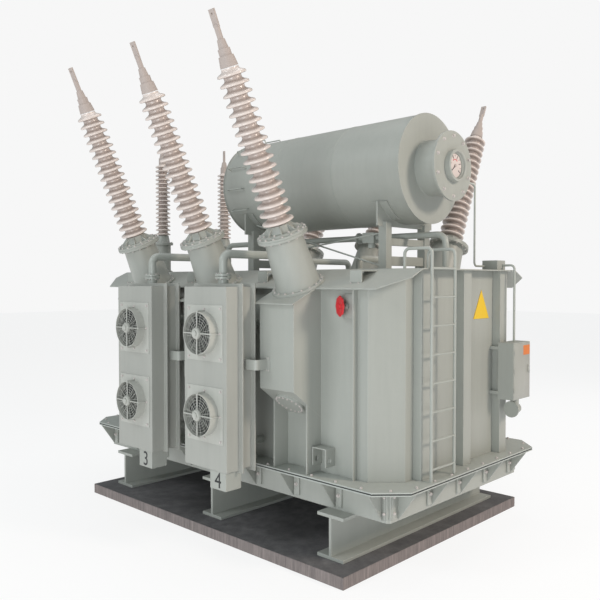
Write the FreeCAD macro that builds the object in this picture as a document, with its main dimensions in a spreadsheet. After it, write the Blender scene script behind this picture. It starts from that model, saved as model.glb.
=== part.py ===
import FreeCAD, Part
import math
import os

doc = FreeCAD.newDocument("transformer")
V = FreeCAD.Vector
turn = FreeCAD.Rotation

# Sizes in millimetres, angles in degrees. The origin is the middle of the
# plinth on the ground, X runs along the tank, the coolers face Y, Z is up.
values = {
    "plinth_half_length": 2348, "plinth_half_width": 1806, "plinth_height": 126,
    "beam_offset": 1950, "beam_width": 360, "beam_height": 476,
    "beam_half_length": 1547, "beam_flange": 35, "beam_web": 32,
    "skirt_half_length": 2821, "skirt_half_width": 1605, "skirt_corner": 281,
    "skirt_plate": 17, "skirt_gasket": 6, "skirt_top": 968,
    "skirt_overhang": 244, "gusset_end_pitch": 600, "gusset_side_pitch": 625,
    "tank_half_length": 2564, "tank_half_width": 1343, "tank_corner": 277,
    "cover_half_length": 2732, "cover_half_width": 1459, "cover_corner": 268,
    "cover_top": 3192, "cover_plate": 14, "ridge_half_width": 1000,
    "slope_angle": 24.43, "cover_tongue": 1820, "cover_tongue_half": 292,
    "turret_pitch": 1375, "turret_foot": 1425, "turret_height": 620,
    "turret_foot_radius": 252, "turret_top_radius": 212,
    "turret_flange_radius": 280, "turret_ring_radius": 300, "turret_ring": 28,
    "turret_seat": 0.1,
    "box_half_width": 259, "box_face": 1770, "box_face_foot": 1882,
    "box_wall_foot": 1564, "leg_depth": 220,
    "shed_count": 17, "shed_pitch": 98, "shed_radius": 176,
    "shed_top_radius": 152, "core_radius": 106, "shed_start": 786,
    "bushing_length": 2975,
    "neutral_offset": 2302, "neutral_spread": 618, "neutral_height": 443,
    "neutral_radius": 115, "neutral_shed": 112, "neutral_pitch": 64.5,
    "conservator_left": 815, "conservator_right": 2144,
    "conservator_radius": 637, "conservator_height": 4377,
    "gauge_neck_radius": 325, "gauge_disc_radius": 400, "gauge_reach": 2466,
    "frame_right": 1800, "frame_left": 470, "frame_spread": 400,
    "frame_column": 110,
    "cooler_offset": 687, "cooler_width": 726, "cooler_foot": 993,
    "cooler_top": 2997, "cooler_face": 2198, "cooler_back": 1770,
    "cooler_lip": 58, "cooler_lip_plate": 14, "cooler_box_depth": 178,
    "fan_upper": 2489, "fan_lower": 1592, "fan_plate": 615,
    "fan_ring_radius": 236, "fan_ring_depth": 112, "fan_ring_wall": 6,
    "rotor_radius": 205, "blade_count": 7, "blade_width": 96,
    "shaft_radius": 12, "shaft_gap": 0.05,
    "pipe_radius": 48, "pipe_axis": 3366,
    "front_landing": -800, "rear_landing": 500,
    "header_radius": 38, "header_axis": 3601,
    "ladder_reach": 2761, "ladder_near": 883.5, "ladder_far": 436.7,
    "rung_pitch": 300, "rung_start": 1093, "rail_radius": 17,
    "cabinet_depth": 200, "cabinet_width": 430, "cabinet_height": 684,
    "wheel_radius": 110, "wheel_height": 2794, "wheel_turn": 27.6,
}
sheet = doc.addObject("Spreadsheet::Sheet", "sizes")
for row, (word, value) in enumerate(values.items(), start=1):
    sheet.set("A%d" % row, word)
    sheet.set("B%d" % row, str(value))
    sheet.setAlias("B%d" % row, word)
doc.recompute()


class Size:
    # A number that also remembers how it is worked out from the sheet.
    def __init__(self, number, words):
        self.number, self.words = float(number), words

    @staticmethod
    def of(other):
        return other if isinstance(other, Size) else Size(other, "(%.6f)" % other)

    def __add__(self, other):
        other = Size.of(other)
        return Size(self.number + other.number, "(%s + %s)" % (self.words, other.words))

    def __sub__(self, other):
        other = Size.of(other)
        return Size(self.number - other.number, "(%s - %s)" % (self.words, other.words))

    def __mul__(self, other):
        other = Size.of(other)
        return Size(self.number * other.number, "(%s * %s)" % (self.words, other.words))

    def __truediv__(self, other):
        other = Size.of(other)
        return Size(self.number / other.number, "(%s / %s)" % (self.words, other.words))

    def __radd__(self, other):
        return Size.of(other) + self

    def __rsub__(self, other):
        return Size.of(other) - self

    def __rmul__(self, other):
        return Size.of(other) * self

    def __neg__(self):
        return Size.of(0) - self

    def __float__(self):
        return self.number


class Sheet:
    def __getattr__(self, word):
        return Size(values[word], "sizes." + word)


s = Sheet()
nodes = []
count = [0]


def name(word):
    count[0] += 1
    return "%s_%03d" % (word, count[0])


def bind(thing, prop, value):
    if isinstance(value, Size):
        thing.setExpression(prop, value.words)
    else:
        setattr(thing, prop, value)


def place(thing, at, rotation=None):
    numbers = [float(v) for v in at]
    thing.Placement = FreeCAD.Placement(V(*numbers), rotation or turn())
    for axis, value in zip("xyz", at):
        if isinstance(value, Size):
            thing.setExpression("Placement.Base." + axis, value.words)
    return thing


def box(size, at, rotation=None):
    thing = doc.addObject("Part::Box", name("block"))
    for prop, value in zip(("Length", "Width", "Height"), size):
        bind(thing, prop, value)
    return place(thing, at, rotation)


def block(size, at):
    # A box placed by the middle of its foot.
    length, width, height = size
    x, y, z = at
    return box(size, (x - length / 2, y - width / 2, z))


def rod(radius, length, at, rotation=None):
    thing = doc.addObject("Part::Cylinder", name("rod"))
    bind(thing, "Radius", radius)
    bind(thing, "Height", length)
    return place(thing, at, rotation)


def cone(foot, top, length, at, rotation=None):
    thing = doc.addObject("Part::Cone", name("cone"))
    bind(thing, "Radius1", foot)
    bind(thing, "Radius2", top)
    bind(thing, "Height", length)
    return place(thing, at, rotation)


def wedge(foot, top, thick, height, at, rotation):
    # A plate whose depth grows from foot to top over its height.
    thing = doc.addObject("Part::Wedge", name("wedge"))
    for prop, value in (("Xmin", 0), ("Ymin", 0), ("Zmin", 0), ("X2min", 0), ("Z2min", 0),
                        ("Xmax", foot), ("Ymax", height), ("Zmax", thick),
                        ("X2max", top), ("Z2max", thick)):
        bind(thing, prop, value)
    return place(thing, at, rotation)


def join(kind, things, word):
    thing = doc.addObject(kind, name(word))
    if kind == "Part::Compound":
        thing.Links = things
    else:
        thing.Shapes = things
    return thing


def fuse(*things):
    return join("Part::MultiFuse", list(things), "joined")


def common(*things):
    return join("Part::MultiCommon", list(things), "shared")


def group(*things):
    return join("Part::Compound", list(things), "group")


def cut(base, tool):
    thing = doc.addObject("Part::Cut", name("cut"))
    thing.Base, thing.Tool = base, tool
    return thing


def node(label, thing):
    thing.Label = label
    nodes.append((label, thing))
    return thing


def octagon(half_length, half_width, corner, height, foot):
    # A flat slab with its four corners cut off at forty-five degrees.
    slab = block((half_length * 2, half_width * 2, height), (0, 0, foot))
    side = (half_length + half_width - corner) * math.sqrt(2)
    turned = box((side, side, height), (0, 0 - side / math.sqrt(2), foot), turn(V(0, 0, 1), 45))
    return common(slab, turned)


def outline(points, at=(0, 0, 0)):
    # A flat face on the Y and Z axes, from pairs of sizes.
    corners = [V(0, float(y), float(z)) for y, z in points]
    thing = doc.addObject("Part::Feature", name("outline"))
    thing.Shape = Part.Face(Part.makePolygon(corners + corners[:1]))
    return thing


def slab_x(points, start, length):
    # The outline pushed along X.
    thing = doc.addObject("Part::Extrusion", name("slab"))
    thing.Base = outline(points)
    thing.DirMode = "Custom"
    thing.Dir = V(1, 0, 0)
    thing.Solid = True
    bind(thing, "LengthFwd", length)
    return place(thing, (start, 0, 0))


def spun(points):
    # A profile of radius and height pairs turned about Z.
    face = doc.addObject("Part::Feature", name("profile"))
    corners = [V(float(r), 0, float(z)) for r, z in points]
    face.Shape = Part.Face(Part.makePolygon(corners + corners[:1]))
    thing = doc.addObject("Part::Revolution", name("spun"))
    thing.Source = face
    thing.Axis = V(0, 0, 1)
    thing.Base = V(0, 0, 0)
    thing.Angle = 360
    thing.Solid = True
    return thing


def pipe(radius, points, bend):
    # A round bar along straight runs joined by quarter bends.
    spots = [V(*[float(c) for c in point]) for point in points]
    bend, edges, start = float(bend), [], spots[0]
    for i in range(1, len(spots) - 1):
        back = (spots[i - 1] - spots[i]).normalize()
        ahead = (spots[i + 1] - spots[i]).normalize()
        angle = back.getAngle(ahead)
        reach = bend / math.tan(angle / 2)
        first, last = spots[i] + back * reach, spots[i] + ahead * reach
        inward = (back + ahead).normalize()
        middle = spots[i] + inward * (bend / math.sin(angle / 2) - bend)
        edges.append(Part.makeLine(start, first))
        edges.append(Part.Arc(first, middle, last).toShape())
        start = last
    edges.append(Part.makeLine(start, spots[-1]))
    along = (spots[1] - spots[0]).normalize()
    ring = Part.Wire([Part.makeCircle(float(radius), spots[0], along)])
    thing = doc.addObject("Part::Feature", name("pipe"))
    thing.Shape = Part.Wire(edges).makePipeShell([ring], True, False)
    return thing


def straight(radius, first, last):
    # A round bar between two points.
    a, b = V(*[float(c) for c in first]), V(*[float(c) for c in last])
    return rod(radius, (b - a).Length, first, turn(V(0, 0, 1), b - a))


slope = math.tan(math.radians(values["slope_angle"]))


def roof(reach, drop=0):
    # Height of the cover over a point this far from the middle line.
    return s.cover_top - (reach - s.ridge_half_width) * slope - drop


# Ground slab and the three beams under the tank
node("plinth", block((s.plinth_half_length * 2, s.plinth_half_width * 2, s.plinth_height), (0, 0, 0)))
beam_top = s.plinth_height + s.beam_height
beams = []
for middle in (-s.beam_offset, s.beam_offset * 0, s.beam_offset):
    length = s.beam_half_length * 2
    beams.append(fuse(
        block((s.beam_width, length, s.beam_flange), (middle, 0, s.plinth_height)),
        block((s.beam_width, length, s.beam_flange), (middle, 0, beam_top - s.beam_flange)),
        block((s.beam_web, length, s.beam_height), (middle, 0, s.plinth_height))))
node("base_beams", group(*beams))

# Bottom tank, the bolted flange pair and its gussets
flange_foot = s.skirt_top - s.skirt_plate * 2 - s.skirt_gasket
inset = s.skirt_overhang
node("bottom_tank", octagon(s.skirt_half_length - inset, s.skirt_half_width - inset,
                            34, flange_foot - beam_top, beam_top))
node("lower_flange", octagon(s.skirt_half_length, s.skirt_half_width, s.skirt_corner,
                             s.skirt_plate, flange_foot))
node("flange_gasket", octagon(s.skirt_half_length - 3, s.skirt_half_width - 3, s.skirt_corner,
                              s.skirt_gasket, flange_foot + s.skirt_plate))
node("upper_flange", octagon(s.skirt_half_length, s.skirt_half_width, s.skirt_corner,
                             s.skirt_plate, s.skirt_top - s.skirt_plate))
gussets = []
gusset_height = flange_foot - beam_top - 24
for side in (1, -1):
    for k in range(-2, 3):
        y = s.gusset_end_pitch * k
        if side == 1:
            face = turn(V(0, 0, 1), 0).multiply(turn(V(1, 0, 0), 90))
            at = (s.skirt_half_length - inset, y + 7, beam_top + 24)
        else:
            face = turn(V(0, 0, 1), 180).multiply(turn(V(1, 0, 0), 90))
            at = (-(s.skirt_half_length - inset), y - 7, beam_top + 24)
        gussets.append(wedge(12, inset - 14, 14, gusset_height, at, face))
    for k in range(-4, 5):
        x = s.gusset_side_pitch * k
        face = turn(V(0, 0, 1), -90 * side).multiply(turn(V(1, 0, 0), 90))
        at = (x - 7 * side, -side * (s.skirt_half_width - inset), beam_top + 24)
        gussets.append(wedge(12, inset - 14, 14, gusset_height, at, face))
node("skirt_gussets", group(*gussets))

# Upper tank: eight-sided, with a ridge and two sloping shoulders
under = s.cover_plate
tank_outline = [(-s.tank_half_width, s.skirt_top), (s.tank_half_width, s.skirt_top),
                (s.tank_half_width, roof(s.tank_half_width, under)),
                (s.ridge_half_width, s.cover_top - under),
                (-s.ridge_half_width, s.cover_top - under),
                (-s.tank_half_width, roof(s.tank_half_width, under))]
node("tank_body", common(
    slab_x(tank_outline, -s.tank_half_length, s.tank_half_length * 2),
    octagon(s.tank_half_length, s.tank_half_width, s.tank_corner,
            s.cover_top - s.skirt_top, s.skirt_top)))


def shoulder(inner, outer, side):
    return [(side * inner, roof(inner)), (side * outer, roof(outer)),
            (side * outer, roof(outer, under)), (side * inner, roof(inner, under))]


edge = s.cover_half_width
cover_outline = [(-edge, roof(edge)), (-s.ridge_half_width, s.cover_top),
                 (s.ridge_half_width, s.cover_top), (edge, roof(edge)),
                 (edge, roof(edge, under)), (s.ridge_half_width, s.cover_top - under),
                 (-s.ridge_half_width, s.cover_top - under), (-edge, roof(edge, under))]
cover_parts = [common(slab_x(cover_outline, -s.cover_half_length, s.cover_half_length * 2),
                      octagon(s.cover_half_length, s.cover_half_width, s.cover_corner, 900,
                              s.cover_top - 600))]
turret_spots = [-s.turret_pitch, s.turret_pitch * 0, s.turret_pitch]
for side in (-1, 1):
    for middle in turret_spots:
        cover_parts.append(slab_x(shoulder(s.ridge_half_width + 200, s.cover_tongue, side),
                                  middle - s.cover_tongue_half, s.cover_tongue_half * 2))
cover = node("tank_cover", fuse(*cover_parts))

# Stiffeners on the tank walls
ribs = []
rib_top = s.cover_top - under
for side in (-1, 1):
    for y in (-840, 0, 840):
        ribs.append(block((100, 165, rib_top - s.skirt_top),
                          (side * (s.tank_half_length + 50), y, s.skirt_top)))
    for x in (-2140, 2140):
        ribs.append(block((18, 66, roof(s.tank_half_width + 66, under) - s.skirt_top),
                          (x, side * (s.tank_half_width + 33), s.skirt_top)))
node("wall_ribs", group(*ribs))

# Boxes under the tilted turrets, their legs and the round hatches below
fall = math.atan2(values["box_face_foot"] - values["box_wall_foot"],
                  values["box_face"] - values["tank_half_width"])
for word, side in (("front", -1), ("rear", 1)):
    boxes, legs = [], []
    for middle in turret_spots:
        wall, face = s.tank_half_width, s.box_face
        outline_box = [(side * wall, roof(wall, under)), (side * face, roof(face, under)),
                       (side * face, s.box_face_foot), (side * wall, s.box_wall_foot)]
        boxes.append(slab_x(outline_box, middle - s.box_half_width, s.box_half_width * 2))
        rise = s.leg_depth * math.tan(fall)
        leg = [(side * wall, s.skirt_top), (side * (wall + s.leg_depth), s.skirt_top),
               (side * (wall + s.leg_depth), s.box_wall_foot + rise),
               (side * wall, s.box_wall_foot)]
        for hand in (-1, 1):
            start = middle + hand * (s.box_half_width - 8) - 8
            legs.append(slab_x(leg, start, 16))
        mid_y = side * (s.tank_half_width + s.box_face) / 2
        mid_z = (s.box_face_foot + s.box_wall_foot) / 2
        down = V(0, side * math.sin(fall), -math.cos(fall))
        hatch = rod(175, 28, (middle, mid_y, mid_z), turn(V(0, 0, 1), down))
        boxes[-1] = fuse(boxes[-1], hatch)
    node(word + "_turret_boxes", group(*boxes))
    node(word + "_box_legs", group(*legs))


# Tilted turrets and bushings, three to a side
def porcelain(first, radius, top_radius, core, pitch, sheds):
    last = first + pitch * (sheds - 1)
    points = [(0, first - pitch * 0.45), (core, first - pitch * 0.45)]
    for k in range(sheds):
        z = first + pitch * k
        part = k / (sheds - 1)
        edge_r = radius + (top_radius - radius) * part
        waist = core * (1 - 0.14 * part)
        points += [(waist, z - pitch * 0.16), (edge_r - pitch * 0.1, z - pitch * 0.11),
                   (edge_r, z - pitch * 0.02), (edge_r - pitch * 0.1, z + pitch * 0.07),
                   (waist, z + pitch * 0.42)]
    points += [(core * 0.86, last + pitch * 0.62), (0, last + pitch * 0.62)]
    return spun(points)


sheds = int(values["shed_count"])
lean = values["slope_angle"]
for word, side in (("front", -1), ("rear", 1)):
    turrets, bases, insulators, terminals = [], [], [], []
    tilt = turn(V(1, 0, 0), -side * lean)
    for middle in turret_spots:
        foot = (middle, side * s.turret_foot, roof(s.turret_foot) + s.turret_seat)
        ring = s.turret_ring
        body = fuse(rod(s.turret_ring_radius, ring, (0, 0, 0)),
                    cone(s.turret_foot_radius, s.turret_top_radius, s.turret_height - ring, (0, 0, 0)),
                    rod(s.turret_flange_radius, ring, (0, 0, s.turret_height - ring)))
        turrets.append(place(body, foot, tilt))
        top = s.turret_height
        cast = [rod(s.turret_flange_radius - 4, 24 - s.turret_seat, (0, 0, top + s.turret_seat)),
                rod(s.turret_flange_radius - 48, 20, (0, 0, top + 24)),
                cone(150, 118, s.shed_start - s.shed_pitch * 0.45 - top - 44, (0, 0, top + 44))]
        for k in range(8):
            spin = turn(V(0, 0, 1), 45 * k)
            fin = wedge(106, 14, 12, 72, (0, 0, 0), turn(V(1, 0, 0), 90))
            fin.Placement = FreeCAD.Placement(V(0, 0, 0), spin).multiply(
                FreeCAD.Placement(V(112, 6, float(top) + 44), turn(V(1, 0, 0), 90)))
            cast.append(fin)
        bases.append(place(fuse(*cast), foot, tilt))
        body = porcelain(float(s.shed_start), float(s.shed_radius), float(s.shed_top_radius),
                         float(s.core_radius), float(s.shed_pitch), sheds)
        insulators.append(place(body, foot, tilt))
        start = s.shed_start + s.shed_pitch * (sheds - 1 + 0.62)
        tip = s.bushing_length
        pad = block((76, 22, 172), (0, 0, tip - 172))
        hole = rod(11, 60, (0, 30, tip - 45), turn(V(1, 0, 0), 90))
        head = fuse(cone(94, 78, 110, (0, 0, start)), rod(64, 70, (0, 0, start + 110)),
                    cone(52, 40, 90, (0, 0, start + 180)),
                    rod(30, tip - 150 - start - 270, (0, 0, start + 270)),
                    cut(pad, hole))
        terminals.append(place(head, foot, tilt))
    node(word + "_turrets", group(*turrets))
    node(word + "_bushing_bases", group(*bases))
    node(word + "_insulators", group(*insulators))
    node(word + "_terminals", group(*terminals))

# Two upright bushings at the left end
turrets, insulators, terminals = [], [], []
for side in (-1, 1):
    foot = (-s.neutral_offset, side * s.neutral_spread, s.cover_top)
    top = s.neutral_height
    turrets.append(place(fuse(rod(s.neutral_radius + 30, 18, (0, 0, 0)),
                              rod(s.neutral_radius, top, (0, 0, 0)),
                              rod(s.neutral_radius + 36, 38, (0, 0, top - 20)),
                              cone(104, 84, 106, (0, 0, top + 18))), foot))
    first = float(top) + 18 + 106 + float(s.neutral_pitch) * 0.45
    insulators.append(place(porcelain(first, float(s.neutral_shed), float(s.neutral_shed),
                                      70.0, float(s.neutral_pitch), 17), foot))
    start = top + 124 + s.neutral_pitch * (0.45 + 16 + 0.62)
    head = fuse(rod(60, 90, (0, 0, start)), cone(50, 34, 90, (0, 0, start + 90)),
                rod(20, 90, (0, 0, start + 180)),
                cut(block((44, 14, 110), (0, 0, start + 260)),
                    rod(8, 40, (0, 20, start + 338), turn(V(1, 0, 0), 90))))
    terminals.append(place(head, foot))
node("neutral_turrets", group(*turrets))
node("neutral_insulators", group(*insulators))
node("neutral_terminals", group(*terminals))

# Conservator lying along X, its two frames, gauge neck and steps
lie = turn(V(0, 1, 0), 90)
seat = 0.3
axis_z = s.conservator_height
shell_length = s.conservator_left + s.conservator_right
node("conservator_shell", fuse(
    rod(s.conservator_radius, shell_length, (-s.conservator_left, 0, axis_z), lie),
    rod(s.conservator_radius + 9, 14, (-s.conservator_left - 14, 0, axis_z), lie),
    rod(s.conservator_radius + 9, 14, (s.conservator_right, 0, axis_z), lie)))
neck_start = s.conservator_right + 14
disc = 26
node("gauge_neck", fuse(
    rod(s.gauge_neck_radius, s.gauge_reach - neck_start, (neck_start, 0, axis_z), lie),
    rod(s.gauge_disc_radius, disc, (s.gauge_reach - disc, 0, axis_z), lie)))
node("oil_gauge", fuse(rod(184, 22, (s.gauge_reach, 0, axis_z), lie),
                       cut(rod(150, 46, (s.gauge_reach, 0, axis_z), lie),
                           rod(138, 30, (s.gauge_reach + 36, 0, axis_z), lie))))
for word, x in (("right", s.frame_right), ("left", -s.frame_left)):
    column, spread = s.frame_column, s.frame_spread
    parts = [block((column, column, 800), (x, side * spread, s.cover_top)) for side in (-1, 1)]
    parts += [block((180, 180, 14), (x, side * spread, s.cover_top)) for side in (-1, 1)]
    parts.append(block((70, spread * 2, 110), (x, 0, s.cover_top + 48)))
    parts.append(block((70, spread * 2, 84), (x, 0, s.header_axis - s.header_radius - 84)))
    saddle = block((24, 1120, 280), (x, 0, 3700))
    parts.append(saddle)
    parts.append(block((220, 1100, 200), (x, 0, 3780)))
    band = cut(fuse(*parts), rod(s.conservator_radius + seat, 600, (x - 300, 0, axis_z), lie))
    keep = fuse(rod(s.conservator_radius + 22, 600, (x - 300, 0, axis_z), lie),
                block((24, 1120, 280), (x, 0, 3700)),
                block((180, 2 * spread + column, 560), (x, 0, s.cover_top)))
    node("conservator_frame_" + word, common(band, keep))
steps = []
for k in range(6):
    around = math.radians(20 + 25 * k - 25)
    out = V(0, -math.sin(around), math.cos(around))
    middle = V(-560, 0, float(axis_z))
    reach = float(s.conservator_radius)
    ends = []
    for hand in (-1, 1):
        foot = middle + V(hand * 150, 0, 0) + out * (reach - 6)
        ends.append((foot, middle + V(hand * 150, 0, 0) + out * (reach + 62)))
    step = pipe(9, [ends[0][0], ends[0][1], ends[1][1], ends[1][0]], 20)
    steps.append(cut(step, rod(s.conservator_radius + seat, 500, (-800, 0, axis_z), lie)))
node("climbing_steps", group(*steps))
# Two crossed rods brace the front columns of the frames
near, far = s.frame_column / 2 - s.frame_left, s.frame_right - s.frame_column / 2
between = block((far - near, 200, 1000), ((near + far) / 2, -s.frame_spread, s.cover_top))
rods = []
for offset, start, end in ((-12, 186, 430), (12, 638, 43)):
    drop = (start - end) * 0.02
    first = (near - 40, offset - s.frame_spread, s.cover_top + start + drop)
    last = (far + 40, offset - s.frame_spread, s.cover_top + end - drop)
    rods.append(common(straight(10, first, last), between))
node("frame_brace_rods", group(*rods))

# Header pipe under the conservator with the gas relay
relay_x = 1290
header = pipe(s.header_radius, [(-1480, 0, s.cover_top), (-1480, 0, s.header_axis),
                                (2370, 0, s.header_axis), (2370, 0, s.cover_top)], 110)
relay_zone = block((420, 300, 300), (relay_x, 0, s.header_axis - 150))
node("header_pipe", cut(header, relay_zone))
node("gas_relay", fuse(
    rod(s.header_radius + 34, 22, (relay_x - 210, 0, s.header_axis), lie),
    rod(s.header_radius + 34, 22, (relay_x + 188, 0, s.header_axis), lie),
    rod(s.header_radius, 420, (relay_x - 210, 0, s.header_axis), lie),
    block((180, 150, 130), (relay_x, 0, s.header_axis - 65)),
    rod(46, 100, (relay_x, 0, s.header_axis - 128))))

# Oil coolers between the turrets
lay = turn(V(1, 0, 0), 90)
cooler_middles = (("left", -s.cooler_offset), ("right", s.cooler_offset))
front_guards, front_motors, rear_guards, rear_rotors = [], [], [], []


def y_rod(radius, length, x, near, z, side):
    # A round bar standing out along the cooler's facing direction.
    if side == -1:
        return rod(radius, length, (x, -near, z), lay)
    return rod(radius, length, (x, near, z), turn(V(1, 0, 0), -90))


for word, side in (("front", -1), ("rear", 1)):
    for hand, middle in cooler_middles:
        width, tall = s.cooler_width, s.cooler_top - s.cooler_foot
        face, back = s.cooler_face, s.cooler_back

        def layer(w, h, near, far, foot):
            depth = far - near
            return block((w, depth, h), (middle, side * (near + depth / 2), foot))

        lip, plate, box_depth = s.cooler_lip, s.cooler_lip_plate, s.cooler_box_depth
        parts = [layer(width, tall, face - box_depth, face, s.cooler_foot),
                 layer(width, tall - 15, back, face - box_depth, s.cooler_foot + 15)]
        for near in (face - box_depth, face - box_depth * 2):
            parts.append(layer(width + lip * 2, tall + 58, near - plate, near, s.cooler_foot - 24))
        body = fuse(*parts)
        holes = []
        for z in (s.fan_upper, s.fan_lower):
            holes.append(y_rod(s.fan_ring_radius - 14, 150, middle, face - 140, z, side))
        node("%s_cooler_%s" % (word, hand), cut(body, group(*holes)))


def fan_parts(x, z, side):
    face, depth = s.cooler_face, s.fan_ring_depth
    ring = s.fan_ring_radius
    plate = block((s.fan_plate, 6, s.fan_plate),
                  (x, side * (face + 3), z - s.fan_plate / 2))
    plate = cut(plate, y_rod(ring - 14, 60, x, face - 30, z, side))
    shroud = cut(y_rod(ring, depth, x, face + 6, z, side),
                 y_rod(ring - s.fan_ring_wall, depth + 20, x, face - 4, z, side))
    front, rim = side * (face + depth - 2), ring + 6
    bars = [y_rod(64, 24, x, face + depth - 12, z, side)]
    for dx, dz in ((1, 0), (-1, 0), (0, 1), (0, -1)):
        bars.append(pipe(8, [(x + dx * 40, front, z + dz * 40), (x + dx * rim, front, z + dz * rim),
                             (x + dx * rim, side * (face + 4), z + dz * rim)], 14))
    return fuse(plate, shroud, *bars)


def rotor(x, z, side):
    face = s.cooler_face
    parts = [y_rod(62, 60, x, face + 20, z, side)]
    blades = int(values["blade_count"])
    for k in range(blades):
        blade = doc.addObject("Part::Box", name("blade"))
        blade.Length = 7
        bind(blade, "Width", s.blade_width)
        bind(blade, "Height", s.rotor_radius - 50)
        spin = FreeCAD.Placement(V(float(x), side * (float(face) + 50), float(z)),
                                 turn(V(0, 1, 0), 360 / blades * k))
        pitched = FreeCAD.Placement(V(0, 0, 50), turn(V(0, 0, 1), 48))
        blade.Placement = spin.multiply(pitched).multiply(
            FreeCAD.Placement(V(-3.5, -float(s.blade_width) / 2, 0), turn()))
        parts.append(blade)
    return parts


for hand, middle in cooler_middles:
    for level, z in (("upper", s.fan_upper), ("lower", s.fan_lower)):
        front_guards.append(fan_parts(middle, z, -1))
        face = s.cooler_face
        bore = y_rod(s.shaft_radius + s.shaft_gap, 200, middle, face - 40, z, -1)
        blades = common(fuse(*rotor(middle, z, -1)),
                        y_rod(s.rotor_radius, 90, middle, face + 5, z, -1))
        node("fan_rotor_%s_%s" % (hand, level), cut(blades, bore))
        motor = fuse(y_rod(78, 148, middle, face - 140, z, -1),
                     y_rod(s.shaft_radius, 90, middle, face, z, -1))
        front_motors.append(motor)
        rear_guards.append(fan_parts(middle, z, 1))
        blades = fuse(*rotor(middle, z, 1))
        rear_rotors.append(fuse(blades, y_rod(78, 182, middle, face - 140, z, 1)))
node("front_fan_guards", group(*front_guards))
node("front_fan_motors", group(*front_motors))
node("rear_fan_guards", group(*rear_guards))
node("rear_fans", group(*rear_rotors))



def strap(middle, side, way):
    # A bent strap from the cooler's side to the front of a turret box.
    start, reach, stand = s.cooler_width / 2, 186, 172
    face, plate, foot, tall = s.box_face, 8, 2095, 112
    bend = 40
    front = block((reach - bend, plate, tall),
                  (middle + way * (start + (reach - bend) / 2), side * (face + stand - plate / 2), foot))
    back = block((plate, stand - bend, tall),
                 (middle + way * (start + reach - plate / 2), side * (face + (stand - bend) / 2), foot))
    corner = (middle + way * (start + reach - bend), side * (face + stand - bend), foot)
    round_part = cut(rod(bend, tall, corner), rod(bend - plate, tall + 20, corner[:2] + (foot - 10,)))
    quarter = block((bend, bend, tall), (corner[0] + way * bend / 2, corner[1] + side * bend / 2, foot))
    pad = block((64, 6, tall + 48), (middle + way * (start + reach + 8), side * (face + 3), foot - 24))
    side_pad = block((6, 96, tall + 30), (middle + way * (start + 3), side * (face + stand - 44), foot - 15))
    return fuse(front, back, common(round_part, quarter), pad, side_pad)


# Cooler pipework, straps and the small boxes below
front_pipes, rear_pipes, returns, straps, small_boxes = [], [], [], [], []
for hand, middle in cooler_middles:
    for side, landing, bank in ((-1, s.front_landing, front_pipes), (1, s.rear_landing, rear_pipes)):
        y = side * 1932
        run = pipe(s.pipe_radius, [(middle, y, s.cooler_top + 34), (middle, y, s.pipe_axis),
                                   (middle, landing, s.pipe_axis), (middle, landing, s.cover_top)], 90)
        neck = rod(s.pipe_radius + 12, 86, (middle, y, s.cooler_top))
        lower = rod(93, 24, (middle, y, s.cooler_top + 86))
        upper = rod(93, 24, (middle, y, s.cooler_top + 118))
        land = rod(s.pipe_radius + 34, 16, (middle, landing, s.cover_top))
        bank.append(fuse(run, neck, lower, upper, land))
        for z in (1180, 2560):
            near = s.tank_half_width
            returns.append(y_rod(s.pipe_radius, s.cooler_back - near, middle, near, z, side))
        for way in (-1, 1):
            straps.append(strap(middle, side, way))
for hand, middle in cooler_middles:
    small_box = fuse(
        block((264, 218, 208), (middle + 197, -2071, s.cooler_foot - 208)),
        rod(16, 40, (middle + 65, -2090, s.cooler_foot - 104), turn(V(0, 1, 0), -90)))
    lip_middle = s.cooler_face - s.cooler_box_depth - s.cooler_lip_plate / 2
    notch = block((300, s.cooler_lip_plate + 2, 60), (middle + 197, -lip_middle, s.cooler_foot - 25))
    small_boxes.append(cut(small_box, notch))
node("front_cooler_pipes", group(*front_pipes))
node("rear_cooler_pipes", group(*rear_pipes))
node("cooler_return_pipes", group(*returns))
node("tie_straps", group(*straps))
node("number_boxes", group(*small_boxes))

# Ladder on the right end
rails = []
for y in (-s.ladder_near, -s.ladder_far):
    rails.append(pipe(s.rail_radius, [(s.ladder_reach, y, s.skirt_top), (s.ladder_reach, y, 3402),
                                      (2420, y, 3402), (2420, y, s.cover_top)], 60))
for k in range(8):
    rails.append(rod(12, s.ladder_near - s.ladder_far,
                     (s.ladder_reach, -s.ladder_far, s.rung_start + s.rung_pitch * k), lay))
node("ladder", fuse(*rails))

# Control cabinet, its arms, conduits and junction box
cab_x, cab_y, cab_z = 2670, 915, 1636
cabinet = [
    block((s.cabinet_depth, s.cabinet_width, s.cabinet_height), (cab_x + s.cabinet_depth / 2, cab_y, cab_z)),
    rod(50, 122, (cab_x + 130, 880, cab_z - 122)),
    rod(58, 140, (cab_x + 130, 940, cab_z - 122), lay),
    rod(84, 16, (cab_x + 130, 816, cab_z - 122), lay),
    rod(98, 16, (cab_x + 130, 800, cab_z - 122), lay)]
for y in (725, 1105):
    for z in (1690, 2230):
        cabinet.append(block((cab_x - s.tank_half_length, 46, 40),
                             ((cab_x + s.tank_half_length) / 2, y, z)))
node("control_cabinet", fuse(*cabinet))
node("junction_box", block((200, 200, 118), (2520, 860, s.cover_top)))
node("conduits", group(
    pipe(14, [(2775, 900, cab_z + s.cabinet_height), (2775, 900, 3250), (2620, 900, 3250)], 50),
    cut(pipe(12, [(2453, 760, 3240), (2453, 510, 3240), (2453, 510, 4220), (2453, 340, 4220)], 50),
        rod(s.gauge_disc_radius + seat, 60, (2420, 0, axis_z), lie))))
node("blank_plate", slab_x([(295, 2612), (655, 2612), (475, 2950)], s.tank_half_length, 6))

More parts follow.
